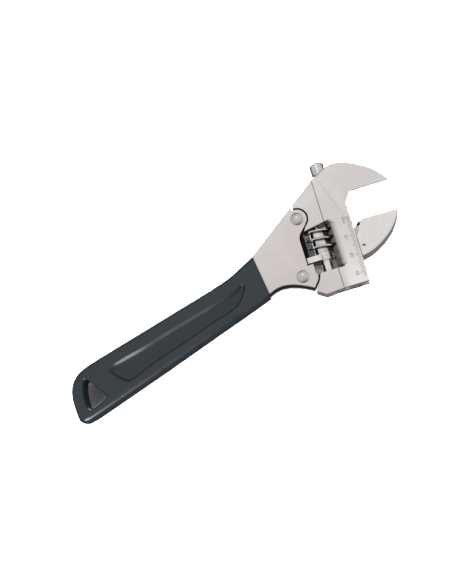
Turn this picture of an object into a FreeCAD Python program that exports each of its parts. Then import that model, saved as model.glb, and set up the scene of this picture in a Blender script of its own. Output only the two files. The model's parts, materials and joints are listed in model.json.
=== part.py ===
import FreeCAD, Part
import math
import os
from FreeCAD import Vector, Placement, Rotation

# Ratchet-action adjustable wrench, nominal 8 in (203 mm), lying on its back.
# Row frame: +X along the handle towards the head, +Z out of the front face,
# origin under the middle of the wrench at the plane it lies on.
# Two working frames lie in the mid-plane: the handle frame (x, y) and the jaw
# frame (a, b), where b is the sliding direction of the movable jaw.

doc = FreeCAD.newDocument("adjustable_wrench")
sheet = doc.addObject("Spreadsheet::Sheet", "Dimensions")
DIMS = [
    ("origin_x", -1.3799, "shift of the handle frame to the row frame, mm"),
    ("origin_y", 2.4998, "shift of the handle frame to the row frame, mm"),
    ("mid_height", 8.0, "height of the mid-plane above the resting plane"),
    ("jaw_tilt", 16.5, "angle between handle frame and jaw frame, degrees"),
    ("head_thick", 13.0, "forged head, right of the seam"),
    ("plate_thick", 12.4, "head left of the seam, and the handle sandwich"),
    ("cheek_thick", 3.0, "each handle cheek plate"),
    ("tongue_thick", 6.2, "head tongue between the cheeks"),
    ("core_thick", 6.4, "filler plate between the cheeks"),
    ("grip_thick", 16.0, "moulded grip"),
    ("panel_depth", 2.0, "depth of the recess in each grip face"),
    ("pivot_a", 46.8, "pivot rivet in the jaw frame"),
    ("pivot_b", 25.1, "pivot rivet in the jaw frame"),
    ("stopper_a", 41.0, "stop rivet in the jaw frame"),
    ("stopper_b", -5.2, "stop rivet in the jaw frame"),
    ("lobe_radius", 5.05, "rounded end of the cheeks round the pivot"),
    ("pocket_radius", 5.95, "matching pocket in the head"),
    ("tongue_lobe_radius", 5.6, "tongue round the pivot"),
    ("core_lobe_radius", 6.3, "core end round the pivot"),
    ("rivet_shank_radius", 2.4, "pivot rivet shank"),
    ("stopper_shank_radius", 1.5, "stop rivet shank"),
    ("dome_radius", 3.35, "rivet dome, seen from the front"),
    ("dome_rise", 1.6, "rivet dome height over the cheek"),
    ("bush_bore_radius", 2.45, "pivot bush bore"),
    ("bush_outer_radius", 3.3, "pivot bush outside, pressed in the tongue"),
    ("stop_slot_radius", 1.6, "half width of the curved stop slot"),
    ("bar_axis_a", 64.9, "slide bar axis in the jaw frame"),
    ("bar_radius", 5.2, "slide bar"),
    ("channel_radius", 5.35, "slide channel in the head"),
    ("web_thick", 5.6, "web between slide bar and movable jaw"),
    ("web_slot_thick", 6.0, "slot for the web"),
    ("jaw_thick", 12.7, "movable jaw"),
    ("face_b", 31.3, "fixed jaw face"),
    ("moving_face_b", 14.8, "movable jaw face at rest"),
    ("worm_axis_a", 55.1, "worm axis in the jaw frame"),
    ("worm_low_b", 4.75, "lower end of the worm"),
    ("worm_length", 12.35, "worm length"),
    ("worm_outer_radius", 7.15, "worm crest"),
    ("worm_core_radius", 4.3, "worm core"),
    ("worm_pitch", 4.3, "single start, left hand"),
    ("crest_width", 0.9, "worm crest width"),
    ("root_width", 1.9, "worm thread width at the core"),
    ("axle_radius", 1.6, "worm axle"),
    ("worm_bore_radius", 1.66, "running fit on the axle"),
    ("block_bore_radius", 1.66, "thrust block bore, sliding on the axle"),
    ("collar_radius", 4.35, "thrust collar"),
    ("arm_low_b", 0.35, "underside of the thrust arm"),
    ("arm_thick", 3.2, "thrust arm"),
    ("sleeve_radius", 2.8, "thrust block sleeve"),
    ("sleeve_bore_radius", 2.88, "counterbore for the sleeve"),
    ("button_radius", 3.85, "plunger button"),
    ("button_top_b", 52.1, "plunger button crown"),
    ("button_low_b", 46.0, "underside of the plunger button"),
    ("button_stem_radius", 3.0, "plunger stem"),
    ("button_bore_radius", 3.06, "plunger bore"),
    ("button_recess_radius", 4.15, "recess round the button"),
    ("spring_wire_radius", 0.3, "coil springs"),
]
for i, (key, value, note) in enumerate(DIMS, start=1):
    sheet.set("A%d" % i, key)
    sheet.set("B%d" % i, "%.4f" % value)
    sheet.set("C%d" % i, note)
    sheet.setAlias("B%d" % i, key)
doc.recompute()


def D(key):
    return float(sheet.get(key))


TILT = math.radians(D("jaw_tilt"))
CA, SA = math.cos(TILT), math.sin(TILT)


def to_handle(a, b):
    """Jaw frame to handle frame."""
    return (a * CA + b * SA, -a * SA + b * CA)


SHIFT = Vector(D("origin_x"), D("origin_y"), D("mid_height"))
HANDLE = Placement(SHIFT, Rotation())
JAW = Placement(SHIFT, Rotation(Vector(0, 0, 1), -D("jaw_tilt")))


def jaw_axis(a, b):
    """Local Z runs along the sliding direction, through (a, b)."""
    return JAW.multiply(Placement(Vector(a, b, 0), Rotation(Vector(1, 0, 0), -90)))


def role(body, name):
    for o in body.Origin.OriginFeatures:
        if o.Role == name:
            return o
    raise RuntimeError(name)


def new_body(label, placement):
    body = doc.addObject("PartDesign::Body", label)
    body.Label = label
    body.Placement = placement
    return body


def v2(p):
    return Vector(p[0], p[1], 0)


def path(items):
    """Closed outline. Items: a point; ('arc', mid, end); ('spline', [points])."""
    geo = []
    start = items[0]
    here = start
    for it in items[1:]:
        if isinstance(it[0], str):
            if it[0] == "arc":
                geo.append(Part.Arc(v2(here), v2(it[1]), v2(it[2])))
                here = it[2]
            else:
                c = Part.BSplineCurve()
                c.interpolate([v2(here)] + [v2(p) for p in it[1]])
                geo.append(c)
                here = it[1][-1]
        else:
            geo.append(Part.LineSegment(v2(here), v2(it)))
            here = it
    if (v2(here) - v2(start)).Length > 1e-6:
        geo.append(Part.LineSegment(v2(here), v2(start)))
    return geo


def sketch(body, name, outlines, z, expr=None, plane="XY_Plane"):
    sk = body.newObject("Sketcher::SketchObject", name)
    sk.AttachmentSupport = [(role(body, plane), "")]
    sk.MapMode = "FlatFace"
    sk.AttachmentOffset = Placement(Vector(0, 0, z), Rotation())
    if expr:
        sk.setExpression("AttachmentOffset.Base.z", expr)
    for o in outlines:
        sk.addGeometry(o, False)
    return sk


def circle(x, y, r):
    return [Part.Circle(Vector(x, y, 0), Vector(0, 0, 1), r)]


def pad(body, name, outlines, z_expr, length_expr, z, plane="XY_Plane"):
    sk = sketch(body, name + "_profile", outlines, z, z_expr, plane)
    p = body.newObject("PartDesign::Pad", name)
    p.Profile = sk
    p.Length = 1.0
    p.setExpression("Length", length_expr)
    doc.recompute()
    return p


def pocket(body, name, outlines, z_expr, length_expr, z):
    """Cuts from the sketch plane downwards."""
    before = body.Shape.Volume
    sk = sketch(body, name + "_profile", outlines, z, z_expr)
    p = body.newObject("PartDesign::Pocket", name)
    p.Profile = sk
    p.Length = 1.0
    p.setExpression("Length", length_expr)
    doc.recompute()
    if not body.Shape.Volume < before - 1e-3:
        raise RuntimeError("pocket %s cut nothing" % name)
    return p


def cyl(body, name, kind, radius_expr, height_expr, placement):
    before = body.Shape.Volume if body.Shape and not body.Shape.isNull() else 0
    c = body.newObject("PartDesign::%sCylinder" % kind, name)
    c.setExpression("Radius", radius_expr)
    c.setExpression("Height", height_expr)
    c.Placement = placement
    doc.recompute()
    if kind == "Subtractive" and not body.Shape.Volume < before - 1e-3:
        raise RuntimeError("cylinder %s cut nothing" % name)
    return c


def along_b(a, b):
    return Placement(Vector(a, b, 0), Rotation(Vector(1, 0, 0), -90))


def box(body, name, kind, size, placement):
    before = body.Shape.Volume if body.Shape and not body.Shape.isNull() else 0
    c = body.newObject("PartDesign::%sBox" % kind, name)
    c.Length, c.Width, c.Height = size
    c.Placement = placement
    doc.recompute()
    if kind == "Subtractive" and not body.Shape.Volume < before - 1e-3:
        raise RuntimeError("box %s cut nothing" % name)
    return c


def dress(body, name, kind, size, test):
    """Fillet or chamfer on every edge that passes the test."""
    base = body.Tip
    names = []
    for i, e in enumerate(base.Shape.Edges, start=1):
        if test(e):
            names.append("Edge%d" % i)
    if not names:
        raise RuntimeError("no edges for " + name)
    f = body.newObject("PartDesign::%s" % kind, name)
    f.Base = (base, names)
    if kind == "Fillet":
        f.Radius = size
    else:
        f.Size = size
    doc.recompute()
    if f.Shape.isNull() or not f.Shape.isValid() or "Invalid" in f.State or "Error" in f.State:
        raise RuntimeError("%s %s failed" % (body.Label, name))
    return f


PA, PB = D("pivot_a"), D("pivot_b")
RA, RB = D("stopper_a"), D("stopper_b")


def polar(r, deg, ca=PA, cb=PB):
    t = math.radians(deg)
    return (ca + r * math.cos(t), cb + r * math.sin(t))


def edge_b(a):
    """Straight upper edge shared by the head and the cheeks."""
    return 32.4 + 0.735 * (a - 45.8)


def curved(e):
    """Free-form edges lying flat in a face."""
    return type(e.Curve).__name__ == "BSplineCurve" and e.BoundBox.ZLength < 0.01 and e.Length > 8


# ------------------------------------------------------------------ head
head = new_body("head", JAW)
SEAM = 60.0
TOP = [(64.2, 45.35), (69.0, 47.7), (73.3, 48.35), (77.6, 47.65), (82.0, 45.9),
       (86.3, 43.6), (90.3, 40.8), (93.6, 37.9), (96.3, 35.0), (98.05, 32.6)]
pad(head, "jaw_plate", [path([
    (SEAM, edge_b(SEAM) + 0.1), ("spline", TOP), (98.2, D("face_b")),
    (77.1, D("face_b")), (73.6, 25.7), (73.6, -17.1), (SEAM, -17.1)])],
    "-Dimensions.head_thick / 2", "Dimensions.head_thick", -6.5)
dress(head, "outer_rounding", "Fillet", 1.1, curved)
R = D("pocket_radius")
pad(head, "upper_plate", [path([
    (SEAM, edge_b(SEAM)), (46.45, edge_b(46.45)), (46.45, PB + math.sqrt(R * R - (46.45 - PA) ** 2)),
    ("arc", polar(R, 15), polar(R, -50)),
    ("spline", [(49.45, 19.1), (48.4, 17.6)]), (SEAM, 17.6)])],
    "-Dimensions.plate_thick / 2", "Dimensions.plate_thick", -6.2)
pad(head, "lower_block", [path([
    (SEAM, -6.0), (SEAM, -17.05), (50.3, -17.6), (45.75, -14.5), (46.25, -13.7),
    ("spline", [(47.85, -11.3), (49.0, -9.4), (49.65, -7.8)]), (50.2, -6.7), (50.7, -6.0)])],
    "-Dimensions.plate_thick / 2", "Dimensions.plate_thick", -6.2)
RT = 33.8
TL = D("tongue_lobe_radius")
ta = (28.6, PB - math.sqrt(RT * RT - (28.6 - PA) ** 2))
pad(head, "tongue", [path([
    (46.8, PB + TL), (53.0, PB + TL), (56.0, 19.5), (56.0, 17.7), (47.4, 17.7), (47.4, -6.1), (52.5, -6.1),
    (52.5, -13.0), (47.6, PB - math.sqrt(RT * RT - (47.6 - PA) ** 2)),
    ("arc", (38.0, PB - math.sqrt(RT * RT - (38.0 - PA) ** 2)), ta),
    (28.3, -1.6), polar(TL, 195),
    ("arc", polar(TL, 140), (46.8, PB + TL))])],
    "-Dimensions.tongue_thick / 2", "Dimensions.tongue_thick", -3.1)
WIN = [(47.4, -6.1), (61.9, -6.1), (62.9, -5.1), (62.9, 18.0), (61.3, 19.6), (59.6, 19.6), (48.4, 17.6), (47.4, 17.6)]
pocket(head, "worm_window", [path(WIN)], "Dimensions.head_thick / 2 + 1", "Dimensions.head_thick + 2", 7.5)


def bevel(name, side):
    lo = sketch(head, name + "_inner", [path([
        (58.0, -6.05), (61.9, -6.05), (62.85, -5.1), (62.85, 18.0), (61.3, 19.55), (58.0, 19.3)])], side * 5.3)
    hi = sketch(head, name + "_outer", [path([
        (58.0, -6.35), (63.4, -6.35), (65.75, -4.3), (65.45, 17.4), (63.4, 19.9), (58.0, 19.5)])], side * 6.6)
    f = head.newObject("PartDesign::SubtractiveLoft", name)
    f.Profile = lo
    f.Sections = [hi]
    f.Ruled = True
    before = head.Shape.Volume
    doc.recompute()
    if not head.Shape.Volume < before - 1e-3:
        raise RuntimeError(name)
    return f


bevel("thumb_bevel_front", 1)
bevel("thumb_bevel_back", -1)
# a shallow facet thins both faces towards the jaw tip
cdir = math.degrees(math.atan2(18.3 - 39.7, 71.0 - 64.0))
for nm, side in (("front_facet", 1), ("back_facet", -1)):
    base = Placement(Vector(64.0, 39.7, 0), Rotation(Vector(0, 0, 1), cdir + 90))
    # box local x points from the crease towards the jaw tip
    tilt = Rotation(Vector(0, 1, 0), 1.5 * side)
    z0 = 6.5 if side > 0 else -6.5
    if side > 0:
        loc = Placement(Vector(0, -40, z0), tilt)
    else:
        loc = Placement(Vector(0, -40, z0), tilt).multiply(Placement(Vector(0, 0, -4), Rotation()))
    box(head, nm, "Subtractive", (60, 90, 4), base.multiply(loc))

cyl(head, "slide_channel", "Subtractive", "Dimensions.channel_radius", "57.7", along_b(D("bar_axis_a"), -20.0))
pocket(head, "web_slot", [path([
    (64.9, -18.0), (80.0, -18.0), (80.0, 31.28), (76.3, 31.28), (75.0, 29.9), (73.2, 28.7), (64.9, 28.7)])],
    "Dimensions.web_slot_thick / 2", "Dimensions.web_slot_thick", 3.0)
cyl(head, "axle_bore", "Subtractive", "Dimensions.axle_radius", "41", along_b(D("worm_axis_a"), -18.0))
cyl(head, "axle_head_recess", "Subtractive", "2.7", "2.6", along_b(D("worm_axis_a"), -18.0))
cyl(head, "sleeve_bore", "Subtractive", "Dimensions.sleeve_bore_radius", "6.5", along_b(D("worm_axis_a"), -11.6))
cyl(head, "button_bore", "Subtractive", "Dimensions.button_bore_radius", "6.0", along_b(D("bar_axis_a"), 38.5))
cyl(head, "button_recess", "Subtractive", "Dimensions.button_recess_radius", "10", along_b(D("bar_axis_a"), 43.2))
cyl(head, "button_pin_bore", "Subtractive", "0.5", "9.8", Placement(Vector(61.95, 42.55, -6.8), Rotation()))
cyl(head, "bush_bore", "Subtractive", "Dimensions.bush_outer_radius", "8", Placement(Vector(PA, PB, -4), Rotation()))
# curved stop slot about the pivot
rr = math.hypot(RA - PA, RB - PB)
a0 = math.degrees(math.atan2(RB - PB, RA - PA))
a1 = a0 - 18.0
w = D("stop_slot_radius")
am = (a0 + a1) / 2
e0, e1 = polar(rr, a0), polar(rr, a1)


def tang(p, deg, s):
    t = math.radians(deg)
    return (p[0] - s * w * math.sin(t), p[1] + s * w * math.cos(t))


pocket(head, "stop_slot", [path([
    polar(rr + w, a0), ("arc", polar(rr + w, am), polar(rr + w, a1)),
    ("arc", tang(e1, a1, -1), polar(rr - w, a1)),
    ("arc", polar(rr - w, am), polar(rr - w, a0)),
    ("arc", tang(e0, a0, 1), polar(rr + w, a0))])], "4", "8", 4.0)
# recess for the thrust arm
box(head, "arm_recess", "Subtractive", (2.6, 4.9, 14), Placement(Vector(45.1, -1.0, -7), Rotation()))


# ------------------------------------------------------------------ movable jaw
jaw = new_body("movable_jaw", JAW)
FB = D("moving_face_b")
pad(jaw, "jaw_plate", [path([
    (78.45, FB), (98.0, FB), (98.15, 12.9), ("spline", [(96.8, 10.4), (94.1, 6.7), (90.7, 3.4), (86.4, 0.3), (82.0, -2.1), (77.9, -3.6), (73.9, -4.35)]),
    (73.9, 6.7)])], "-Dimensions.jaw_thick / 2", "Dimensions.jaw_thick", -6.35)
dress(jaw, "outer_rounding", "Fillet", 1.2, curved)
pad(jaw, "web", [path([
    (79.2, FB - 0.05), (76.8, FB - 0.05), (75.8, 13.3), (73.5, 11.4), (64.9, 11.4), (64.9, -4.3), (76.0, -3.9), (80.0, 0.0)])],
    "-Dimensions.web_thick / 2", "Dimensions.web_thick", -2.8)
cyl(jaw, "slide_bar", "Additive", "Dimensions.bar_radius", "25.3", along_b(D("bar_axis_a"), -4.3))
# rack teeth: straight grooves at the worm's lead angle
pitch = D("worm_pitch")
lead = pitch / (2 * math.pi) / 5.9
GB = 6.4 - 2 * pitch


def groove(z):
    s = lead * z
    return [path([(62.52, GB + s - 0.78), (62.52, GB + s + 0.78), (59.2, GB + s + 1.32), (59.2, GB + s - 1.32)])]


g0 = sketch(jaw, "groove_back", groove(-6.0), -6.0)
g1 = sketch(jaw, "groove_front", groove(6.0), 6.0)
gl = jaw.newObject("PartDesign::SubtractiveLoft", "rack_groove")
gl.Profile = g0
gl.Sections = [g1]
gl.Ruled = True
doc.recompute()
v0 = jaw.Shape.Volume
rack = jaw.newObject("PartDesign::LinearPattern", "rack_teeth")
rack.Originals = [gl]
rack.Direction = (role(jaw, "Y_Axis"), [""])
rack.Occurrences = 6
rack.setExpression("Length", "Dimensions.worm_pitch * 5")
jaw.Tip = rack
doc.recompute()
if not jaw.Shape.Volume < v0 - 5:
    raise RuntimeError("rack pattern cut nothing")

# ------------------------------------------------------------------ worm
WA, WB = D("worm_axis_a"), D("worm_low_b")
WL = D("worm_length")
worm = new_body("worm", jaw_axis(WA, WB))
cyl(worm, "core", "Additive", "Dimensions.worm_core_radius", "Dimensions.worm_length", Placement())
ro, rc = D("worm_outer_radius"), D("worm_core_radius")
zc = 6.4 - WB - 2 * pitch
rs = rc - 0.35
hw_c, hw_r = D("crest_width") / 2, D("root_width") / 2
hw_s = hw_r + (hw_r - hw_c) / (ro - rc) * (rc - rs)
prof = sketch(worm, "thread_profile", [path([
    (rs, zc - hw_s), (ro - 0.12, zc - hw_c), (ro, zc - hw_c + 0.15), (ro, zc + hw_c - 0.15), (ro - 0.12, zc + hw_c), (rs, zc + hw_s)])], 0, None, "XZ_Plane")
thread = worm.newObject("PartDesign::AdditiveHelix", "thread")
thread.Profile = prof
thread.ReferenceAxis = (prof, ["V_Axis"])
thread.Mode = 1
thread.LeftHanded = True
thread.Pitch = pitch
thread.setExpression("Pitch", "Dimensions.worm_pitch")
thread.Turns = 5.0
doc.recompute()
cyl(worm, "trim_low", "Subtractive", "12", "12", Placement(Vector(0, 0, -12), Rotation()))
c = cyl(worm, "trim_high", "Subtractive", "12", "14", Placement(Vector(0, 0, WL), Rotation()))
cyl(worm, "bore", "Subtractive", "Dimensions.worm_bore_radius", "Dimensions.worm_length + 2", Placement(Vector(0, 0, -1), Rotation()))
cyl(worm, "spring_seat", "Subtractive", "3.0", "6", Placement(Vector(0, 0, 12.5 - WB), Rotation()))

# ------------------------------------------------------------------ thrust block
block = new_body("thrust_block", JAW)
cyl(block, "collar", "Additive", "Dimensions.collar_radius", "3.95", along_b(WA, D("arm_low_b")))
cyl(block, "sleeve", "Additive", "Dimensions.sleeve_radius", "8.6", along_b(WA, -8.0))
pad(block, "arm", [path([
    (45.6, D("arm_low_b")), (53.4, D("arm_low_b")), (53.4, D("arm_low_b") + D("arm_thick")), (45.6, D("arm_low_b") + D("arm_thick"))])],
    "-Dimensions.plate_thick / 2", "Dimensions.plate_thick", -6.2)
cyl(block, "bore", "Subtractive", "Dimensions.block_bore_radius", "16", along_b(WA, -9.0))
dress(block, "arm_edges", "Fillet", 0.25, lambda e: abs(abs(e.BoundBox.Center.z) - 6.2) < 0.01 and e.BoundBox.ZLength < 0.01)

washer = new_body("thrust_washer", jaw_axis(WA, 4.32))
pad(washer, "disc", [circle(0, 0, 4.25), circle(0, 0, 1.75)], None, "0.38", 0)

# ------------------------------------------------------------------ axle
axle = new_body("worm_axle", jaw_axis(WA, 0))
cyl(axle, "shaft", "Additive", "Dimensions.axle_radius", "38.3", Placement(Vector(0, 0, -15.6), Rotation()))
cyl(axle, "screw_head", "Additive", "2.6", "1.5", Placement(Vector(0, 0, -17.0), Rotation()))
box(axle, "driver_slot", "Subtractive", (6, 0.7, 0.7), Placement(Vector(-3, -0.35, -17.05), Rotation()))


# ------------------------------------------------------------------ springs
def spring(label, placement, mean_radius, wire, length, turns):
    body = new_body(label, placement)
    prof = sketch(body, label + "_wire", [circle(mean_radius, wire, wire)], 0, None, "XZ_Plane")
    hx = body.newObject("PartDesign::AdditiveHelix", label + "_coil")
    hx.Profile = prof
    hx.ReferenceAxis = (prof, ["V_Axis"])
    hx.Mode = 1
    hx.Turns = turns
    hx.Pitch = (length - 2 * wire) / turns
    doc.recompute()
    return body


SWR = D("spring_wire_radius")
spring("worm_spring", jaw_axis(WA, 12.62), 2.5, SWR, 5.4, 4.5)
spring("thrust_spring", jaw_axis(WA, -11.5), 2.3, SWR, 3.4, 3.5)

# ------------------------------------------------------------------ plunger
BA = D("bar_axis_a")
plunger = new_body("jaw_plunger", jaw_axis(BA, 0))
cyl(plunger, "button", "Additive", "Dimensions.button_radius", "Dimensions.button_top_b - Dimensions.button_low_b",
    Placement(Vector(0, 0, D("button_low_b")), Rotation()))
cyl(plunger, "stem", "Additive", "Dimensions.button_stem_radius", "5.5", Placement(Vector(0, 0, 41.0), Rotation()))
dress(plunger, "crown", "Fillet", 1.3, lambda e: abs(e.BoundBox.Center.z - D("button_top_b")) < 0.05 and e.BoundBox.ZLength < 0.05)
cyl(plunger, "spring_pocket", "Subtractive", "2.25", "9", Placement(Vector(0, 0, 40.9), Rotation()))
box(plunger, "pin_groove", "Subtractive", (1.3, 8, 3.5), Placement(Vector(-3.6, -4, 41.9), Rotation()))
spring("plunger_spring", jaw_axis(BA, 38.55), 1.75, SWR, 11.2, 9)
pin = new_body("plunger_pin", JAW)
cyl(pin, "pin", "Additive", "0.5", "9.1", Placement(Vector(61.95, 42.55, -6.2), Rotation()))

# ------------------------------------------------------------------ handle cheeks
LOBE = D("lobe_radius")
H = to_handle


def hj(points):
    return [H(*p) for p in points]


def neck_top():
    return [H(45.0, edge_b(45.0)), H(45.35, PB + math.sqrt(LOBE ** 2 - 1.45 ** 2)),
            ("arc", H(*polar(LOBE, 20)), H(*polar(LOBE, -46))),
            ("spline", hj([(48.75, 19.6), (47.1, 18.0), (45.55, 16.0), (44.95, 13.6), (44.95, 11.0)])),
            H(45.0, 0.7), H(44.7, -0.4), H(48.05, -0.4), H(48.05, -5.5), H(48.75, -6.4), H(48.75, -7.6),
            H(48.1, -9.1), H(45.8, -11.9), H(45.25, -12.5),
            ("spline", hj([(43.5, -11.5), (39.8, -9.6), (36.0, -8.0), (32.4, -7.05), (29.0, -6.8), (25.7, -7.25), (22.9, -8.35)]))]


# line where the grip ends: from (21.7, 7.0) to (18.3, -15.7)
GRIP_TOP_END, GRIP_LOW_END = (21.7, 7.05), (18.3, -15.6)
INSERT = [(18.75, -13.9), (2.7, -14.8), (-18.0, -15.4), (-60.0, -16.8), (-91.0, -17.4), (-95.4, -17.2),
          (-97.6, -14.6), (-96.4, -8.5), (-93.4, -0.8), (-90.0, 2.4), (-83.0, 4.2), (-65.0, 3.9),
          (-24.0, 2.7), (1.0, 2.2), (9.0, 2.9), (14.0, 3.7), (21.6, 5.3)]
HOLE = [(-87.0, 0.5), (-88.7, -0.9), (-90.7, -4.5), (-92.4, -9.4), (-93.0, -13.2), (-92.3, -14.6),
        (-89.8, -14.6), (-85.0, -13.9), (-82.0, -12.7), (-81.6, -11.3), (-83.0, -7.3), (-84.5, -3.2), (-85.8, -0.2)]
PANEL = [(10.0, -1.6), (4.6, -2.6), (-2.0, -3.05), (-10.9, -2.7), (-18.3, -2.25), (-29.9, -1.75), (-41.0, -1.45), (-52.0, -1.3),
         (-61.9, -0.6), (-68.5, -0.2), (-73.5, -0.4), (-75.2, -1.2), (-73.6, -5.9), (-68.5, -13.2), (-65.2, -13.6), (-56.0, -12.9),
         (-47.9, -12.45), (-40.1, -12.35), (-32.5, -12.4), (-21.9, -11.95), (-11.5, -11.75), (-3.5, -11.9), (1.1, -11.3),
         (4.8, -9.6), (8.2, -6.7), (10.2, -3.9)]
CUTOUT = [(11.4, -1.0), (0.0, -1.4), (-29.0, -1.1), (-41.0, -0.2), (-58.0, -0.9), (-75.8, 0.8), (-76.8, -2.5), (-69.7, -14.4),
          (-65.0, -14.8), (-48.0, -13.7), (-36.0, -14.2), (-3.0, -13.3), (5.0, -11.8), (11.4, -4.5)]


def grow(poly, k):
    cx = sum(p[0] for p in poly) / len(poly)
    cy = sum(p[1] for p in poly) / len(poly)
    return [(cx + (p[0] - cx) * k, cy + (p[1] - cy) * k) for p in poly]


HOLE_METAL = grow(HOLE, 1.2)
gx = 0.06
cheek_outline = neck_top()
# the neck meets the grip's end line, then steps in under the grip
cheek_outline += [(18.45 + gx, -14.65)]
cheek_outline += [(18.58 + gx, -13.9)] + INSERT[1:-1] + [(21.43 + gx, 5.22), (21.68 + gx, 6.9)]
CORE_RIVETS = [(14.8, -0.2), (14.8, -10.2), (-79.3, -5.5)]


def cheek(label, low_expr, low):
    body = new_body(label, HANDLE)
    px, py = H(PA, PB)
    sx, sy = H(RA, RB)
    outlines = [path(cheek_outline), circle(px, py, D("rivet_shank_radius")), circle(sx, sy, D("stopper_shank_radius")),
                path(CUTOUT), path(HOLE_METAL)] + [circle(x, y, 1.6) for x, y in CORE_RIVETS]
    pad(body, label + "_plate", outlines, low_expr, "Dimensions.cheek_thick", low)
    return body


front_cheek = cheek("front_cheek", "Dimensions.core_thick / 2", 3.2)
back_cheek = cheek("back_cheek", "-Dimensions.plate_thick / 2", -6.2)

CL = D("core_lobe_radius")
core = new_body("handle_core", HANDLE)
core_outline = [H(40.0, edge_b(40.0)), H(*polar(CL, 168)), ("arc", H(*polar(CL, 180)), H(*polar(CL, 193))),
                H(27.6, -1.2), H(27.6, -5.0), H(24.0, -6.6), (18.6, -13.6)]
core_outline += [(18.58 + gx, -13.9)] + INSERT[1:-1] + [(21.43 + gx, 5.22), (21.68 + gx, 6.9)]
pad(core, "core_plate", [path(core_outline), path(HOLE_METAL)] + [circle(x, y, 1.6) for x, y in CORE_RIVETS],
    "-Dimensions.core_thick / 2", "Dimensions.core_thick", -3.2)

# ------------------------------------------------------------------ rivets and bush
def dome_feature(label, a, b, shank):
    """Round-headed rivet turned about its own axis."""
    t, rise, rd = D("plate_thick") / 2, D("dome_rise"), D("dome_radius")
    rim = 0.3
    h = rise - rim
    x, y = H(a, b)
    body = new_body(label, HANDLE.multiply(Placement(Vector(x, y, 0), Rotation())))
    ball = (rd * rd + h * h) / (2 * h)
    half = math.asin(rd / ball) / 2
    mx, mz = ball * math.sin(half), t + rise - ball + ball * math.cos(half)
    pts = [(0, -t - rise), ("arc", (mx, -mz), (rd, -t - rim)), (rd, -t), (shank, -t), (shank, t), (rd, t), (rd, t + rim),
           ("arc", (mx, mz), (0, t + rise))]
    sk = sketch(body, label + "_half", [path(pts)], 0, None, "XZ_Plane")
    rv = body.newObject("PartDesign::Revolution", label + "_turned")
    rv.Profile = sk
    rv.ReferenceAxis = (sk, ["V_Axis"])
    rv.Angle = 360.0
    doc.recompute()
    return body


dome_feature("pivot_rivet", PA, PB, D("rivet_shank_radius"))
dome_feature("stop_rivet", RA, RB, D("stopper_shank_radius"))

bush = new_body("pivot_bush", JAW)
pad(bush, "bush_ring", [circle(PA, PB, D("bush_outer_radius")), circle(PA, PB, D("bush_bore_radius"))],
    "-Dimensions.tongue_thick / 2", "Dimensions.tongue_thick", -3.1)

rivets = doc.addObject("Part::Feature", "core_rivets")
rivets.Label = "core_rivets"
rivets.Shape = Part.makeCompound([
    Part.makeCylinder(1.6, D("plate_thick"), Vector(x, y, -D("plate_thick") / 2)) for x, y in CORE_RIVETS])
rivets.Placement = HANDLE

# shoe and return spring in the stop slot
shoe_ang = a0 - math.degrees(2.75 / rr)
shoe = new_body("spring_shoe", JAW)
sw = 1.45
q0 = a0 - math.degrees(1.62 / rr)
q1 = a0 - math.degrees(3.1 / rr)
pad(shoe, "shoe_pad", [path([
    polar(rr + sw, q0), ("arc", polar(rr + sw, (q0 + q1) / 2), polar(rr + sw, q1)), polar(rr - sw, q1),
    ("arc", polar(rr - sw, (q0 + q1) / 2), polar(rr - sw, q0))])], "-2.9", "5.8", -2.9)
s0 = polar(rr, a0 - math.degrees(3.2 / rr))
s1 = polar(rr, a1 - math.degrees(1.2 / rr))
sd = Vector(s1[0] - s0[0], s1[1] - s0[1], 0)
slen = sd.Length
spring("swing_spring", JAW.multiply(Placement(Vector(s0[0], s0[1], 0), Rotation(Vector(0, 0, 1), sd))), 1.05, 0.22, slen, 9)

# ------------------------------------------------------------------ grip
grip = new_body("grip", HANDLE)
grip_outline = [GRIP_TOP_END, ("spline", [(17.4, 6.35), (13.4, 5.6), (9.2, 4.85), (5.1, 4.3), (-1.0, 4.05), (-9.3, 4.15), (-23.8, 4.6),
                (-44.4, 5.2), (-64.9, 5.85), (-77.4, 6.2), (-83.5, 6.1), (-87.9, 5.4), (-91.6, 3.7), (-94.5, 1.2), (-96.7, -2.2),
                (-98.6, -7.2), (-99.9, -12.0), (-100.5, -15.0), (-100.2, -17.0), (-98.6, -18.6), (-95.6, -19.3), (-91.1, -19.4),
                (-75.0, -19.05), (-59.9, -18.7), (-39.0, -18.05), (-18.2, -17.3), (2.7, -16.6), GRIP_LOW_END])]
pad(grip, "grip_body", [path(grip_outline)], "-Dimensions.grip_thick / 2", "Dimensions.grip_thick", -8.0)
dress(grip, "grip_rounding", "Fillet", 2.5, lambda e: (abs(abs(e.BoundBox.Center.z) - 8.0) < 0.01 and e.BoundBox.ZLength < 0.01
      and not (e.BoundBox.XMin > 15)))
pocket(grip, "panel_front", [path(PANEL)], "Dimensions.grip_thick / 2", "Dimensions.panel_depth", 8.0)
pocket(grip, "panel_back", [path(PANEL)], "-Dimensions.grip_thick / 2 + Dimensions.panel_depth", "Dimensions.panel_depth", -6.0)
cavity = [(26.0, -13.9)] + INSERT[:-1] + [(21.5, 5.235), (26.0, 6.2)]
pocket(grip, "core_cavity", [path(cavity), path(HOLE_METAL)], "Dimensions.core_thick / 2", "Dimensions.core_thick", 3.2)
pocket(grip, "front_cavity", [path(cavity), path(CUTOUT), path(HOLE_METAL)], "Dimensions.plate_thick / 2", "Dimensions.cheek_thick", 6.2)
pocket(grip, "back_cavity", [path(cavity), path(CUTOUT), path(HOLE_METAL)], "-Dimensions.core_thick / 2", "Dimensions.cheek_thick", -3.2)
pocket(grip, "hang_hole", [path(HOLE)], "9", "18", 9.0)

doc.recompute()

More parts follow.
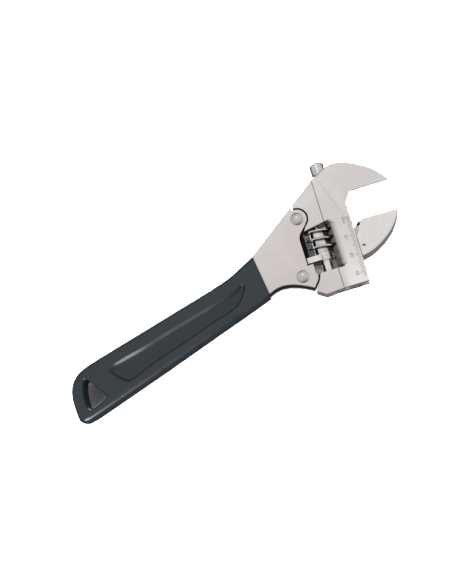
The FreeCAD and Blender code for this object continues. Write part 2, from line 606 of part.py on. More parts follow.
# ------------------------------------------------------------------ checks and export
NODES = ["head", "movable_jaw", "worm", "thrust_block", "thrust_washer", "worm_axle", "worm_spring", "thrust_spring",
         "jaw_plunger", "plunger_spring", "plunger_pin", "front_cheek", "back_cheek", "handle_core", "pivot_rivet",
         "stop_rivet", "pivot_bush", "core_rivets", "spring_shoe", "swing_spring", "grip"]
for o in doc.Objects:
    if "Invalid" in o.State or "Error" in o.State:
        raise RuntimeError("failed object: %s %s" % (o.Name, o.State))
by_label = {o.Label: o for o in doc.Objects}
os.makedirs("parts", exist_ok=True)
box_all = FreeCAD.BoundBox()
for n in NODES:
    s = by_label[n].Shape
    if s.isNull() or not s.isValid():
        raise RuntimeError("bad shape: " + n)
    if n != "core_rivets" and len(s.Solids) != 1:
        raise RuntimeError("%s has %d solids" % (n, len(s.Solids)))
    box_all.add(s.optimalBoundingBox())
    print("%-16s vol %9.2f  solids %d faces %d" % (n, s.Volume, len(s.Solids), len(s.Faces)))
print("box", box_all.XMin, box_all.XMax, box_all.YMin, box_all.YMax, box_all.ZMin, box_all.ZMax)
for n in NODES:
    by_label[n].Shape.exportStep("parts/%s.step" % n)
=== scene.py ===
import json
import math

import bmesh
import bpy
import numpy as np
from mathutils import Matrix, Vector


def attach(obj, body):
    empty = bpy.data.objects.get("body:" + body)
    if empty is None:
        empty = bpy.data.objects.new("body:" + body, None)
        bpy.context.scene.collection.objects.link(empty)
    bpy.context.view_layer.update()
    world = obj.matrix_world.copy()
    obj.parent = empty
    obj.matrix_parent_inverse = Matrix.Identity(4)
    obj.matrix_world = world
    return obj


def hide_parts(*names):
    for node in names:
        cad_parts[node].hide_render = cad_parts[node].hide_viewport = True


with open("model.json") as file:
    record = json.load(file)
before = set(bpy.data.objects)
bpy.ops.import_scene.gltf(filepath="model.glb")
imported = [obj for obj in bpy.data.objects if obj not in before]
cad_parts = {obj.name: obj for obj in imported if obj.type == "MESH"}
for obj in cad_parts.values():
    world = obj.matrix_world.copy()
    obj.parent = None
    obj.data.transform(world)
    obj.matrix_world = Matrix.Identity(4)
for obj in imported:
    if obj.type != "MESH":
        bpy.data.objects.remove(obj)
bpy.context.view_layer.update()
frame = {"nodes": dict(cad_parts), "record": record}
N = frame["nodes"]
scene = bpy.context.scene

# ------------------------------------------------------------ coordinates
# handle frame (mm) -> row frame (m); jaw frame is turned by 16.5 degrees
OX, OY, OZ = -1.3799, 2.4998, 8.0
CA, SA = math.cos(math.radians(16.5)), math.sin(math.radians(16.5))


def row(x, y, z=0.0):
    return Vector(((x + OX) / 1000, (y + OY) / 1000, (z + OZ) / 1000))


def jaw(a, b, z=0.0):
    return row(a * CA + b * SA, -a * SA + b * CA, z)


ADIR = Vector((CA, -SA, 0))
BDIR = Vector((SA, CA, 0))


# ------------------------------------------------------------ node helpers
class Mat:
    def __init__(self, name):
        self.m = bpy.data.materials.new(name)
        self.m.use_nodes = True
        self.t = self.m.node_tree
        self.t.nodes.clear()
        self.out = self.new("ShaderNodeOutputMaterial")
        self.bsdf = self.new("ShaderNodeBsdfPrincipled")
        self.t.links.new(self.bsdf.outputs[0], self.out.inputs[0])
        self.coord = self.new("ShaderNodeTexCoord").outputs["Object"]

    def new(self, kind, **props):
        n = self.t.nodes.new(kind)
        for k, v in props.items():
            setattr(n, k, v)
        return n

    def put(self, socket, value):
        if isinstance(value, bpy.types.NodeSocket):
            self.t.links.new(value, socket)
        else:
            socket.default_value = value

    def set(self, **values):
        names = {"color": "Base Color", "rough": "Roughness", "metal": "Metallic", "coat": "Coat Weight",
                 "coat_rough": "Coat Roughness", "spec": "Specular IOR Level", "normal": "Normal", "ior": "IOR",
                 "aniso": "Anisotropic"}
        for k, v in values.items():
            if k == "color" and not isinstance(v, bpy.types.NodeSocket):
                v = (*v, 1.0)
            self.put(self.bsdf.inputs[names[k]], v)
        return self

    def math(self, op, a, b=0.0, c=None, clamp=False):
        n = self.new("ShaderNodeMath", operation=op, use_clamp=clamp)
        self.put(n.inputs[0], a)
        self.put(n.inputs[1], b)
        if c is not None:
            self.put(n.inputs[2], c)
        return n.outputs[0]

    def mapping(self, rot=(0, 0, 0), scale=(1, 1, 1), loc=(0, 0, 0)):
        n = self.new("ShaderNodeMapping")
        n.inputs["Rotation"].default_value = rot
        n.inputs["Scale"].default_value = scale
        n.inputs["Location"].default_value = loc
        self.t.links.new(self.coord, n.inputs[0])
        return n.outputs[0]

    def noise(self, scale, detail=2.0, rough=0.5, vec=None, distortion=0.0):
        n = self.new("ShaderNodeTexNoise")
        self.t.links.new(vec or self.coord, n.inputs["Vector"])
        n.inputs["Scale"].default_value = scale
        n.inputs["Detail"].default_value = detail
        n.inputs["Roughness"].default_value = rough
        n.inputs["Distortion"].default_value = distortion
        return n.outputs["Fac"]

    def range(self, v, a, b, c, d, smooth=False):
        n = self.new("ShaderNodeMapRange")
        if smooth:
            n.interpolation_type = "SMOOTHSTEP"
        self.put(n.inputs["Value"], v)
        for i, x in zip(("From Min", "From Max", "To Min", "To Max"), (a, b, c, d)):
            n.inputs[i].default_value = x
        return n.outputs["Result"]

    def mix(self, fac, a, b):
        n = self.new("ShaderNodeMix", data_type="RGBA")
        self.put(n.inputs[0], fac)
        for s, v in ((n.inputs[6], a), (n.inputs[7], b)):
            if not isinstance(v, bpy.types.NodeSocket):
                v = (*v, 1.0)
            self.put(s, v)
        return n.outputs[2]

    def bump(self, height, strength, distance, normal=None):
        n = self.new("ShaderNodeBump")
        n.inputs["Strength"].default_value = strength
        n.inputs["Distance"].default_value = distance
        self.put(n.inputs["Height"], height)
        if normal is not None:
            self.put(n.inputs["Normal"], normal)
        return n.outputs[0]

    def bevel(self, radius, samples=4):
        n = self.new("ShaderNodeBevel", samples=samples)
        n.inputs["Radius"].default_value = radius
        return n.outputs[0]

    def dot(self, direction, origin=(0, 0, 0)):
        s = self.new("ShaderNodeVectorMath", operation="SUBTRACT")
        self.t.links.new(self.coord, s.inputs[0])
        s.inputs[1].default_value = origin
        d = self.new("ShaderNodeVectorMath", operation="DOT_PRODUCT")
        self.t.links.new(s.outputs[0], d.inputs[0])
        d.inputs[1].default_value = direction
        return d.outputs["Value"]

    def edge(self, bevel_normal):
        """1 along sharp edges, 0 elsewhere."""
        g = self.new("ShaderNodeNewGeometry").outputs["Normal"]
        d = self.new("ShaderNodeVectorMath", operation="DOT_PRODUCT")
        self.t.links.new(bevel_normal, d.inputs[0])
        self.t.links.new(g, d.inputs[1])
        return self.range(d.outputs["Value"], 0.995, 0.90, 0.0, 1.0)


def satin(name, light, dark, rough=(0.30, 0.42), grain_dir=0.0, part=None, bevel=0.00022):
    """Plated, blasted steel: fine grain, faint cloudy tone, edges painted brighter (edge wear plus a painted
    highlight), painted shade in the recesses.
    """
    m = Mat(name)
    cloud = m.noise(38.0, 3.0, 0.55)
    fine = m.noise(1500.0, 2.0, 0.6)
    lines = m.noise(260.0, 2.0, 0.6, vec=m.mapping(rot=(0, 0, grain_dir), scale=(1.0, 9.0, 1.0)))
    tone = m.range(cloud, 0.36, 0.64, 0.0, 1.0, True)
    col = m.mix(tone, light, dark)
    col = m.mix(m.math("MULTIPLY", m.range(fine, 0.45, 0.75, 0.0, 1.0), 0.16), col, tuple(x * 0.72 for x in dark))
    bn = m.bevel(bevel)
    edge = m.edge(bn)
    # edges painted brighter: partly edge wear, partly a painted highlight on the rounded edges
    col = m.mix(m.math("MULTIPLY", edge, 0.55), col, tuple(min(1.0, x * 1.25) for x in light))
    r = m.math("ADD", m.range(fine, 0.3, 0.7, rough[0], rough[1]), m.range(lines, 0.35, 0.65, -0.03, 0.04))
    metal = 1.0
    if part:
        a = m.dot(tuple(ADIR), tuple(jaw(0, 0)))
        b = m.dot(tuple(BDIR), tuple(jaw(0, 0)))
        zs_ = m.dot((0, 0, 1), tuple(row(0, 0)))
        z = m.math("ABSOLUTE", zs_)
        # dark brown colour used as painted shade in recesses and between plates
        recess_shade = m.mix(m.noise(420.0, 3.0, 0.6), (0.026, 0.019, 0.016), (0.085, 0.060, 0.048))

    def band(v, lo, hi, soft=0.0004):
        return m.math("MULTIPLY", m.range(v, lo - soft, lo, 0.0, 1.0, True), m.range(v, hi, hi + soft, 1.0, 0.0, True))

    def both(*fs):
        f = fs[0]
        for g in fs[1:]:
            f = m.math("MULTIPLY", f, g)
        return f

    if part == "head":
        # painted shade inside the window and the head's pocket, a painted shadow along the groove line on the front
        # face, and painted shade on the sloped wall right of the window
        window_shade = both(band(a, 0.044, 0.0626, 0.0008), band(b, -0.0068, 0.0202, 0.0012), band(z, -1.0, 0.0053, 0.0008))
        pocket_shade = both(band(a, 0.0, 0.0582, 0.0010), band(b, -0.0090, 0.0335, 0.0010), band(z, -1.0, 0.0060, 0.00012))
        line = both(band(m.math("ABSOLUTE", m.math("SUBTRACT", a, 0.05985)), -1.0, 0.00016, 0.00014), band(z, 0.0061, 1.0, 0.0002))
        col = m.mix(m.math("MULTIPLY", m.math("MAXIMUM", window_shade, m.math("MULTIPLY", line, 0.7)), 0.95), col, recess_shade)
        col = m.mix(m.math("MULTIPLY", pocket_shade, 0.97), col, (0.006, 0.005, 0.004))
        slope_shade = both(band(a, 0.0630, 0.0695, 0.0004), band(b, -0.0068, 0.0240, 0.0010), band(z, -1.0, 0.0059, 0.0001))
        col = m.mix(m.math("MULTIPLY", slope_shade, 0.28), col, (0.12, 0.115, 0.11))
        # the scale edge is painted lighter towards its foot
        foot = both(m.range(b, -0.018, 0.016, 1.0, 0.0, True), m.range(a, 0.0600, 0.0650, 0.0, 1.0, True), band(z, 0.0060, 1.0, 0.0002))
        col = m.mix(m.math("MULTIPLY", foot, 0.75), col, (0.90, 0.86, 0.83))
        # painted shade along a soft crease across the jaw's root
        crease_shade = m.dot(tuple(ADIR * 0.9505 + BDIR * 0.3109), tuple(jaw(64.0, 39.7)))
        crease_shade = both(m.range(m.math("ABSOLUTE", crease_shade), 0.0, 0.0007, 1.0, 0.0, True), band(z, 0.0060, 1.0, 0.0002),
                      band(b, 0.0165, 0.041, 0.002))
        col = m.mix(m.math("MULTIPLY", crease_shade, 0.20), col, tuple(x * 0.45 for x in dark))
        # ground contact face and throat, brighter and more matt than the plated skin
        face = both(band(m.math("ABSOLUTE", m.math("SUBTRACT", b, 0.0313)), -1.0, 0.00008, 0.0001), band(a, 0.0770, 1.0, 0.0001))
        thr = m.dot(tuple(ADIR * 0.848 - BDIR * 0.530), tuple(jaw(77.1, 31.3)))
        thr = both(band(m.math("ABSOLUTE", thr), -1.0, 0.00008, 0.0001), band(b, 0.0258, 0.0314, 0.0001), band(a, 0.0737, 0.0772, 0.0001))
        ground = both(m.math("MAXIMUM", face, thr), band(zs_, -1.0, 0.0044, 0.0001))
        # painted shadow: dark band along the contact face's front edge
        rim_shade = both(face, band(zs_, 0.0044, 0.0064, 0.0001))
        col = m.mix(m.math("MULTIPLY", rim_shade, 0.92), col, (0.030, 0.026, 0.024))
        lay = m.range(m.noise(160.0, 3.0, 0.6, vec=m.mapping(scale=(1, 1, 14))), 0.3, 0.7, 0.0, 1.0)
        col = m.mix(ground, col, m.mix(lay, (0.90, 0.895, 0.885), (0.74, 0.73, 0.72)))
        metal = m.range(ground, 0.0, 1.0, 1.0, 0.15)
        r = m.math("ADD", r, m.math("MULTIPLY", ground, 0.15))
    if part == "jaw":
        # painted shade on the slide bar inside the window and on the web, and a near-black painted shadow in the web's
        # top corner
        bar_shade = both(band(a, 0.0, 0.0722, 0.0008), band(z, -1.0, 0.0060, 0.0002))
        jaw_shade = m.mix(m.noise(420.0, 3.0, 0.6), (0.10, 0.092, 0.085), (0.20, 0.185, 0.17))
        col = m.mix(m.math("MULTIPLY", bar_shade, 0.92), col, jaw_shade)
        web_shade = both(band(z, -1.0, 0.0030, 0.0001), band(a, 0.0722, 0.0786, 0.0002))
        top = both(web_shade, band(b, 0.0131, 1.0, 0.0004))
        col = m.mix(m.math("MULTIPLY", web_shade, 0.35), col, jaw_shade)
        col = m.mix(m.math("MULTIPLY", top, 0.97), col, (0.010, 0.009, 0.008))
    if part == "cheek":
        # painted shade on the cheek's edge faces and inner side, between the plates
        side = band(zs_, -0.0033, 0.00600, 0.00012)
        col = m.mix(m.math("MULTIPLY", side, 0.88), col, recess_shade)
    nrm = m.bump(fine, 0.10, 0.00003, bn)
    nrm = m.bump(lines, 0.05, 0.00003, nrm)
    m.set(color=col, rough=r, metal=metal, normal=nrm)
    return m.m


def turned(name, light, dark, rough=(0.12, 0.25), axis=None, origin=None, crest=None, ring=3200.0):
    """Bright turned steel with fine rings along its axis and, for the worm, painted shade in its hollows."""
    m = Mat(name)
    col = m.mix(m.range(m.noise(220.0, 3.0, 0.6), 0.35, 0.65, 0.0, 1.0), light, dark)
    spots = m.range(m.noise(1300.0, 2.0, 0.5), 0.56, 0.74, 0.0, 0.35)
    col = m.mix(spots, col, tuple(x * 0.45 for x in dark))
    along = m.dot(tuple(axis or BDIR), tuple(origin or jaw(0, 0)))
    w = m.new("ShaderNodeTexNoise", noise_dimensions="1D")
    m.put(w.inputs["W"], along)
    w.inputs["Scale"].default_value = ring
    rings = w.outputs["Fac"]
    if crest:
        # radius from the worm's axis: painted shade on the flanks, bright ground crest and core
        a = m.dot(tuple(ADIR), tuple(jaw(55.1, 0)))
        z = m.dot((0, 0, 1), tuple(row(0, 0)))
        rad = m.math("SQRT", m.math("ADD", m.math("MULTIPLY", a, a), m.math("MULTIPLY", z, z)))
        low = m.range(rad, 0.00435, 0.0050, 0.0, 1.0, True)
        high = m.range(rad, 0.00660, 0.00695, 1.0, 0.0, True)
        flank_shade = m.math("MULTIPLY", low, high)
        col = m.mix(m.math("MULTIPLY", flank_shade, 0.93), col, (0.030, 0.026, 0.024))
    bn = m.bevel(0.00015)
    nrm = m.bump(rings, 0.06, 0.00003, bn)
    m.set(color=col, rough=m.range(m.noise(500.0, 2.0, 0.6), 0.3, 0.7, rough[0], rough[1]), metal=1.0, normal=nrm)
    return m.m


def grip_material():
    m = Mat("grip_gloss")
    cloud = m.noise(70.0, 4.0, 0.6)
    fine = m.noise(900.0, 3.0, 0.6)
    col = m.mix(m.range(cloud, 0.35, 0.65, 0.0, 1.0), (0.0155, 0.0265, 0.0330), (0.0230, 0.0270, 0.0300))
    # slight wear and dust in random patches
    scuff = m.math("MULTIPLY", m.range(m.noise(240.0, 5.0, 0.7, distortion=0.6), 0.58, 0.74, 0.0, 1.0),
                   m.range(m.noise(30.0, 2.0, 0.5), 0.45, 0.65, 0.0, 1.0))
    col = m.mix(m.math("MULTIPLY", scuff, 0.35), col, (0.040, 0.042, 0.044))
    rough = m.math("ADD", m.range(cloud, 0.3, 0.7, 0.24, 0.34), m.math("MULTIPLY", scuff, 0.12))
    nrm = m.bump(m.noise(150.0, 3.0, 0.5), 0.10, 0.00022)
    nrm = m.bump(fine, 0.06, 0.00004, nrm)
    # the sides are matt, the front and its rims glossy
    z = m.dot((0, 0, 1), tuple(row(0, 0)))
    m.set(color=col, rough=rough, metal=0.0, spec=m.range(z, 0.0015, 0.0060, 0.06, 0.38), coat=0.0, normal=nrm)
    return m.m


def wire(name, light, dark):
    m = Mat(name)
    col = m.mix(m.range(m.noise(700.0, 3.0, 0.6), 0.35, 0.65, 0.0, 1.0), light, dark)
    m.set(color=col, rough=m.range(m.noise(1500.0, 2.0, 0.5), 0.3, 0.7, 0.22, 0.40), metal=1.0,
          normal=m.bump(m.noise(2500.0, 2.0, 0.5), 0.08, 0.00002))
    return m.m


MATS = {
    "satin_steel": satin("satin_steel", (0.68, 0.665, 0.65), (0.635, 0.60, 0.585), grain_dir=0.29, part="head"),
    "jaw_steel": satin("jaw_steel", (0.77, 0.755, 0.735), (0.72, 0.695, 0.675), grain_dir=0.29, part="jaw"),
    "cheek_steel": satin("cheek_steel", (0.665, 0.63, 0.61), (0.63, 0.578, 0.565), grain_dir=1.15, part="cheek"),
    "worm_steel": turned("worm_steel", (0.72, 0.71, 0.70), (0.50, 0.49, 0.48), (0.10, 0.24), crest=True),
    "bright_steel": turned("bright_steel", (0.80, 0.775, 0.73), (0.66, 0.63, 0.58), (0.14, 0.28)),
    "rivet_steel": turned("rivet_steel", (0.63, 0.62, 0.62), (0.46, 0.45, 0.45), (0.16, 0.34), axis=Vector((0, 0, 1))),
    "chrome": turned("chrome", (0.64, 0.64, 0.66), (0.48, 0.48, 0.50), (0.05, 0.12), ring=1500.0),
    "spring_steel": wire("spring_steel", (0.42, 0.42, 0.43), (0.22, 0.22, 0.23)),
    "bronze": wire("bronze", (0.60, 0.40, 0.22), (0.38, 0.24, 0.13)),
    "dark_steel": satin("dark_steel", (0.040, 0.034, 0.031), (0.020, 0.017, 0.016), (0.40, 0.55)),
    "grip": grip_material(),
}
USE = {"movable_jaw": "jaw_steel"}
slot_of = {s["node"]: s["material_slot"] for s in frame["record"].get("subparts", [])}


def smooth(o, angle=32.0):
    me = o.data
    me.polygons.foreach_set("use_smooth", [True] * len(me.polygons))
    me.update()


for name, o in N.items():
    mat = MATS[USE.get(name, slot_of.get(name, "satin_steel"))]
    o.data.materials.clear()
    o.data.materials.append(mat)

# ------------------------------------------------------------ grip
HOLE = [(-87.0, 0.5), (-88.7, -0.9), (-90.7, -4.5), (-92.4, -9.4), (-93.0, -13.2), (-92.3, -14.6),
        (-89.8, -14.6), (-85.0, -13.9), (-82.0, -12.7), (-81.6, -11.3), (-83.0, -7.3), (-84.5, -3.2), (-85.8, -0.2)]
PANEL = [(10.0, -1.6), (4.6, -2.6), (-2.0, -3.05), (-10.9, -2.7), (-18.3, -2.25), (-29.9, -1.75), (-41.0, -1.45), (-52.0, -1.3),
         (-61.9, -0.6), (-68.5, -0.2), (-73.5, -0.4), (-75.2, -1.2), (-73.6, -5.9), (-68.5, -13.2), (-65.2, -13.6), (-56.0, -12.9),
         (-47.9, -12.45), (-40.1, -12.35), (-32.5, -12.4), (-21.9, -11.95), (-11.5, -11.75), (-3.5, -11.9), (1.1, -11.3),
         (4.8, -9.6), (8.2, -6.7), (10.2, -3.9)]
FLOOR = [(8.4, -4.0), (4.3, -5.2), (-2.0, -5.7), (-10.9, -5.4), (-18.3, -4.95), (-29.9, -4.4), (-41.0, -4.05), (-52.0, -3.9),
         (-61.9, -3.3), (-66.5, -3.1), (-70.2, -3.2), (-71.2, -3.9), (-70.2, -6.6), (-66.6, -12.2), (-64.8, -12.6), (-56.0, -11.95),
         (-47.9, -11.5), (-40.1, -11.4), (-32.5, -11.45), (-21.9, -11.0), (-11.5, -10.8), (-3.9, -10.9), (0.3, -10.4),
         (3.7, -8.9), (7.0, -6.2), (8.8, -4.6)]
CUTOUT = [(11.4, -1.0), (0.0, -1.4), (-29.0, -1.1), (-41.0, -0.2), (-58.0, -0.9), (-75.8, 0.8), (-76.8, -2.5), (-69.7, -14.4),
          (-65.0, -14.8), (-48.0, -13.7), (-36.0, -14.2), (-3.0, -13.3), (5.0, -11.8), (11.4, -4.5)]
INSERT = [(30.0, -13.9), (18.75, -13.9), (2.7, -14.8), (-18.0, -15.4), (-60.0, -16.8), (-91.0, -17.4), (-95.4, -17.2),
          (-97.6, -14.6), (-96.4, -8.5), (-93.4, -0.8), (-90.0, 2.4), (-83.0, 4.2), (-65.0, 3.9),
          (-24.0, 2.7), (1.0, 2.2), (9.0, 2.9), (14.0, 3.7), (21.6, 5.3), (30.0, 6.9)]
SIDE = [(31.0, 9.3), (26.0, 8.1), (21.7, 7.05), (17.4, 6.35), (13.4, 5.6), (9.2, 4.85), (5.1, 4.3), (-1.0, 4.05), (-9.3, 4.15),
        (-23.8, 4.6), (-44.4, 5.2), (-64.9, 5.85), (-77.4, 6.2), (-83.5, 6.1), (-87.9, 5.4), (-91.6, 3.7), (-94.5, 1.2),
        (-96.7, -2.2), (-98.6, -7.2), (-99.9, -12.0), (-100.5, -15.0), (-100.2, -17.0), (-98.6, -18.6), (-95.6, -19.3),
        (-91.1, -19.4), (-75.0, -19.05), (-59.9, -18.7), (-39.0, -18.05), (-18.2, -17.3), (2.7, -16.6), (18.3, -15.6),
        (25.0, -15.1), (31.0, -14.6)]


def catmull(pts, closed, n=8):
    """Centripetal Catmull-Rom through the points."""
    P = np.array(pts, float)
    k = len(P)
    out = []
    for i in range(k if closed else k - 1):
        p0, p1, p2, p3 = (P[(i - 1) % k], P[i], P[(i + 1) % k], P[(i + 2) % k])
        if not closed and i == 0:
            p0 = 2 * p1 - p2
        if not closed and i == k - 2:
            p3 = 2 * p2 - p1
        t = [0.0]
        for u, v in ((p0, p1), (p1, p2), (p2, p3)):
            t.append(t[-1] + max(np.linalg.norm(v - u), 1e-6) ** 0.5)
        for s in np.linspace(t[1], t[2], n, endpoint=False):
            a1 = ((t[1] - s) * p0 + (s - t[0]) * p1) / (t[1] - t[0])
            a2 = ((t[2] - s) * p1 + (s - t[1]) * p2) / (t[2] - t[1])
            a3 = ((t[3] - s) * p2 + (s - t[2]) * p3) / (t[3] - t[2])
            b1 = ((t[2] - s) * a1 + (s - t[0]) * a2) / (t[2] - t[0])
            b2 = ((t[3] - s) * a2 + (s - t[1]) * a3) / (t[3] - t[1])
            out.append(((t[2] - s) * b1 + (s - t[1]) * b2) / (t[2] - t[1]))
    if not closed:
        out.append(P[-1])
    return np.array(out)


def signed(poly, X, Y):
    """Signed distance to a closed polygon, negative inside."""
    P = np.array(poly, float)
    Q = np.roll(P, -1, 0)
    best = np.full(X.shape, 1e18)
    inside = np.zeros(X.shape, bool)
    for (x1, y1), (x2, y2) in zip(P, Q):
        dx, dy = x2 - x1, y2 - y1
        L = dx * dx + dy * dy
        if L < 1e-12:
            continue
        t = np.clip(((X - x1) * dx + (Y - y1) * dy) / L, 0, 1)
        best = np.minimum(best, (X - x1 - t * dx) ** 2 + (Y - y1 - t * dy) ** 2)
        cond = (y1 > Y) != (y2 > Y)
        if dy != 0:
            xi = x1 + (Y - y1) * dx / dy
            inside ^= cond & (X < xi)
    d = np.sqrt(best)
    return np.where(inside, -d, d)


def round_and(a, b, r):
    return np.minimum(-r, np.maximum(a, b)) + np.hypot(np.maximum(a + r, 0), np.maximum(b + r, 0))


def surface_nets(F, origin, h):
    """Quads around the zero level of F, one vertex in each crossed cell."""
    nx, ny, nz = F.shape
    inside = F < 0
    c = np.zeros((nx - 1, ny - 1, nz - 1), int)
    corners = [(i, j, k) for i in (0, 1) for j in (0, 1) for k in (0, 1)]
    for i, j, k in corners:
        c += inside[i:nx - 1 + i, j:ny - 1 + j, k:nz - 1 + k]
    cells = np.argwhere((c > 0) & (c < 8))
    index = -np.ones(c.shape, int)
    index[tuple(cells.T)] = np.arange(len(cells))
    pos = np.zeros((len(cells), 3))
    cnt = np.zeros(len(cells))
    edges = [(p, q) for p in corners for q in corners if sum(abs(np.subtract(p, q))) == 1 and p < q]
    for p, q in edges:
        fp = F[tuple((cells + p).T)]
        fq = F[tuple((cells + q).T)]
        cut = (fp < 0) != (fq < 0)
        t = np.where(cut, fp / np.where(fp == fq, 1, fp - fq), 0)
        pt = np.array(p) + t[:, None] * (np.array(q) - np.array(p))
        pos += np.where(cut[:, None], pt, 0)
        cnt += cut
    verts = origin + (cells + pos / cnt[:, None]) * h
    quads = []
    for ax in range(3):
        u, v = [(1, 2), (2, 0), (0, 1)][ax]
        lo = [slice(1, n - 1) for n in F.shape]
        lo[ax] = slice(0, F.shape[ax] - 1)
        hi = list(lo)
        hi[ax] = slice(1, F.shape[ax])
        A, B = inside[tuple(lo)], inside[tuple(hi)]
        idx = np.argwhere(A != B)
        off = np.ones(3, int)
        off[ax] = 0
        base = idx + off
        flip = A[tuple(idx.T)]
        du, dv = np.zeros(3, int), np.zeros(3, int)
        du[u], dv[v] = 1, 1
        q = np.stack([index[tuple((base - du - dv).T)], index[tuple((base - dv).T)], index[tuple(base.T)],
                      index[tuple((base - du).T)]], 1)
        q = np.where(flip[:, None], q, q[:, ::-1])
        quads.append(q)
    return verts, np.concatenate(quads)


def grip_field(X, Y, Z):
    """Signed field of the dipped grip, in the handle frame, mm. X, Y are 2-D grids, Z is the list of heights."""
    side = signed(catmull(SIDE, False), X, Y) + 0.02
    # the line where the grip ends
    ex, ey = 21.7 - 18.3, 7.05 + 15.6
    el = math.hypot(ex, ey)
    end = ((X - 18.3) * ey - (Y + 15.6) * ex) / el
    hole = signed(catmull(HOLE, True, 5), X, Y)
    panel = signed(catmull(PANEL, True, 5), X, Y)
    floor = signed(catmull(FLOOR, True, 5), X, Y)
    metal_gap = signed([( -88.09 + (x + 88.09) * 1.2, -8.05 + (y + 8.05) * 1.2) for x, y in HOLE], X, Y)
    insert = signed(INSERT, X, Y)
    cutout = signed(CUTOUT, X, Y)
    t = np.where(panel >= 0, 0.0, np.where(floor <= 0, 1.0, -panel / np.maximum(-panel + np.maximum(floor, 0), 1e-6)))
    t = t * t * (3 - 2 * t)
    crown = 0.35 * np.clip(-side / 9.0, 0, 1) ** 0.7 - 0.35
    depth = 8.0 - 0.02 + 0.0 * crown - 1.98 * t
    F = np.empty(X.shape + (len(Z),))
    mid = np.interp(X, [-100, -60, 0, 22], [-6.5, -6.4, -6.3, -4.3])
    R = 2.6 + 1.7 * np.clip((mid - Y) / 6.0, 0, 1) * np.clip((14.0 - X) / 12.0, 0, 1)
    cav2 = np.maximum(insert, -metal_gap)
    for i, z in enumerate(Z):
        az = abs(z)
        top = az - depth
        body = round_and(side, np.full(X.shape, az - 7.98), R)
        body = np.maximum(body, np.where(panel < 0.6, top, -9.0))
        body = round_and(body, end, 0.45)
        body = round_and(body, -hole, 1.5)
        core = np.maximum(cav2, az - 3.25)
        wide = np.maximum(np.maximum(cav2, -cutout), az - 6.25)
        F[..., i] = np.maximum(body, -np.minimum(core, wide))
    return F


h = 0.34
xs = np.arange(-101.6, 23.2, h)
ys = np.arange(-20.6, 8.6, h)
zs = np.arange(-8.6, 8.6 + h / 2, h)
zs = zs - (zs[0] + zs[-1]) / 2
X, Y = np.meshgrid(xs, ys, indexing="ij")
F = grip_field(X, Y, zs)
V, Q = surface_nets(F, np.array([xs[0], ys[0], zs[0]]), h)
V = (V + np.array([OX, OY, OZ])) / 1000
me = bpy.data.meshes.new("grip_skin")
me.from_pydata([tuple(v) for v in V], [], [tuple(int(i) for i in q) for q in Q])
me.validate()
grip = bpy.data.objects.new("grip_skin", me)
scene.collection.objects.link(grip)
bm = bmesh.new()
bm.from_mesh(me)
bmesh.ops.recalc_face_normals(bm, faces=bm.faces)
bm.to_mesh(me)
bm.free()
me.polygons.foreach_set("use_smooth", [True] * len(me.polygons))
me.materials.append(MATS["grip"])
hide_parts("grip")
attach(grip, "handle")


# ------------------------------------------------------------ scale and pointer
def ink(name, color):
    m = Mat(name)
    worn = m.range(m.noise(1800.0, 3.0, 0.6), 0.30, 0.62, 0.0, 1.0)
    m.set(color=m.mix(worn, color, tuple(min(1, x * 1.5) for x in color)), rough=m.range(worn, 0, 1, 0.45, 0.6), metal=0.0, spec=0.3,
          normal=m.bump(m.noise(3000.0, 2.0, 0.5), 0.1, 0.00002))
    return m.m


INK = ink("etched_scale", (0.150, 0.118, 0.110))
INK_DARK = ink("etched_pointer", (0.085, 0.062, 0.055))


def flat_piece(name, polys, z0, z1, mat, body):
    """Thin raised prisms from jaw-frame polygons."""
    bm = bmesh.new()
    for poly in polys:
        lo = [bm.verts.new(jaw(a, b, z0)) for a, b in poly]
        hi = [bm.verts.new(jaw(a, b, z1)) for a, b in poly]
        bm.faces.new(hi)
        bm.faces.new(lo[::-1])
        for i in range(len(poly)):
            j = (i + 1) % len(poly)
            bm.faces.new((lo[i], lo[j], hi[j], hi[i]))
    bmesh.ops.recalc_face_normals(bm, faces=bm.faces)
    me = bpy.data.meshes.new(name)
    bm.to_mesh(me)
    bm.free()
    o = bpy.data.objects.new(name, me)
    scene.collection.objects.link(o)
    me.materials.append(mat)
    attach(o, body)
    return o


ZF = 6.5
ticks = []
for d in range(0, 33):
    b = 18.1 - d
    w = 0.26 if d % 10 == 0 else 0.22
    ln = 3.1 if d % 10 == 0 else 2.6 if d % 5 == 0 else 2.0
    ticks.append([(73.1 - ln, b - w / 2), (73.1, b - w / 2), (73.1, b + w / 2), (73.1 - ln, b + w / 2)])
flat_piece("scale_ticks", ticks, ZF - 0.03, ZF + 0.02, INK, "head")
pointer = [[(74.5, 1.6), (76.9, 0.75), (76.9, 2.15)]]
flat_piece("jaw_pointer", pointer, 6.33, 6.37, INK_DARK, "jaw")


def label(name, text, a, b, size, z, mat, body):
    """Text along +b with its top towards -a, like the scale's."""
    cu = bpy.data.curves.new(name, "FONT")
    cu.body = text
    cu.size = size / 1000
    cu.extrude = 0.000025
    cu.align_x = "CENTER"
    cu.align_y = "CENTER"
    cu.resolution_u = 4
    tmp = bpy.data.objects.new(name + "_curve", cu)
    scene.collection.objects.link(tmp)
    bpy.context.view_layer.update()
    me = bpy.data.meshes.new_from_object(tmp)
    bpy.data.objects.remove(tmp)
    me.name = name
    M = Matrix.Identity(4)
    for i in range(3):
        M[i][0], M[i][1], M[i][2] = BDIR[i], -ADIR[i], (0, 0, 1)[i]
    me.transform(Matrix.Translation(jaw(a, b, z)) @ M)
    o = bpy.data.objects.new(name, me)
    scene.collection.objects.link(o)
    me.materials.clear()
    me.materials.append(mat)
    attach(o, body)
    return o


for txt, a, b, s in (("mm", 69.6, 17.2, 2.5), ("10", 68.6, 8.1, 2.5), ("20", 68.6, -1.9, 2.5), ("30", 68.6, -11.9, 2.5)):
    label("scale_" + txt, txt, a, b, s, ZF, INK, "head")

